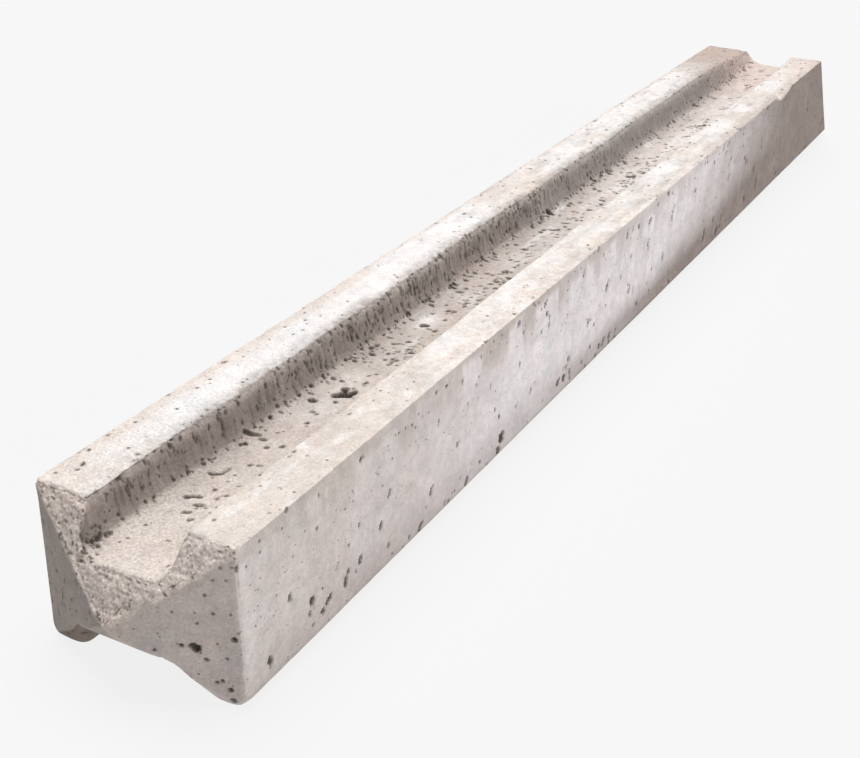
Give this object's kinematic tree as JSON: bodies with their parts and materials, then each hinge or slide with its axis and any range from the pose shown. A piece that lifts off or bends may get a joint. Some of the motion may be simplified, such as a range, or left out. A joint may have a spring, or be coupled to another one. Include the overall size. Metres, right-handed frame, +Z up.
{
  "type": "slotted concrete fence post",
  "caption": "Precast concrete fence post with a panel slot in each of two faces, a weathered pyramid top, a raked foot and a steel bar cage inside.",
  "frame": {"origin": "middle of the post's box, on the plane that the post lies on", "axes": "+X along the post towards its foot, +Z up out of the upper slotted face, +Y to the left seen from the weathered end"},
  "size_m": [1.157, 0.129, 0.097],
  "materials": {
    "concrete": "pale cream-grey cast concrete with blow-holes; trowel-struck upper faces, rough aggregate where it is broken",
    "bar_steel": "plain round bar, dull grey with brown surface rust",
    "wire_steel": "plain drawn wire, dull grey with light rust"
  },
  "bodies": {
    "root": {"concrete_post": "concrete", "bar_lower_left": "bar_steel", "bar_lower_right": "bar_steel", "bar_upper_left": "bar_steel", "bar_upper_right": "bar_steel", "rung_left_1": "wire_steel", "rung_right_1": "wire_steel", "cross_tie_1": "wire_steel", "rung_left_2": "wire_steel", "rung_right_2": "wire_steel", "cross_tie_2": "wire_steel", "rung_left_3": "wire_steel", "rung_right_3": "wire_steel", "cross_tie_3": "wire_steel", "rung_left_4": "wire_steel", "rung_right_4": "wire_steel", "cross_tie_4": "wire_steel", "rung_left_5": "wire_steel", "rung_right_5": "wire_steel", "cross_tie_5": "wire_steel", "rung_left_6": "wire_steel", "rung_right_6": "wire_steel", "cross_tie_6": "wire_steel"}
  },
  "joints": []
}
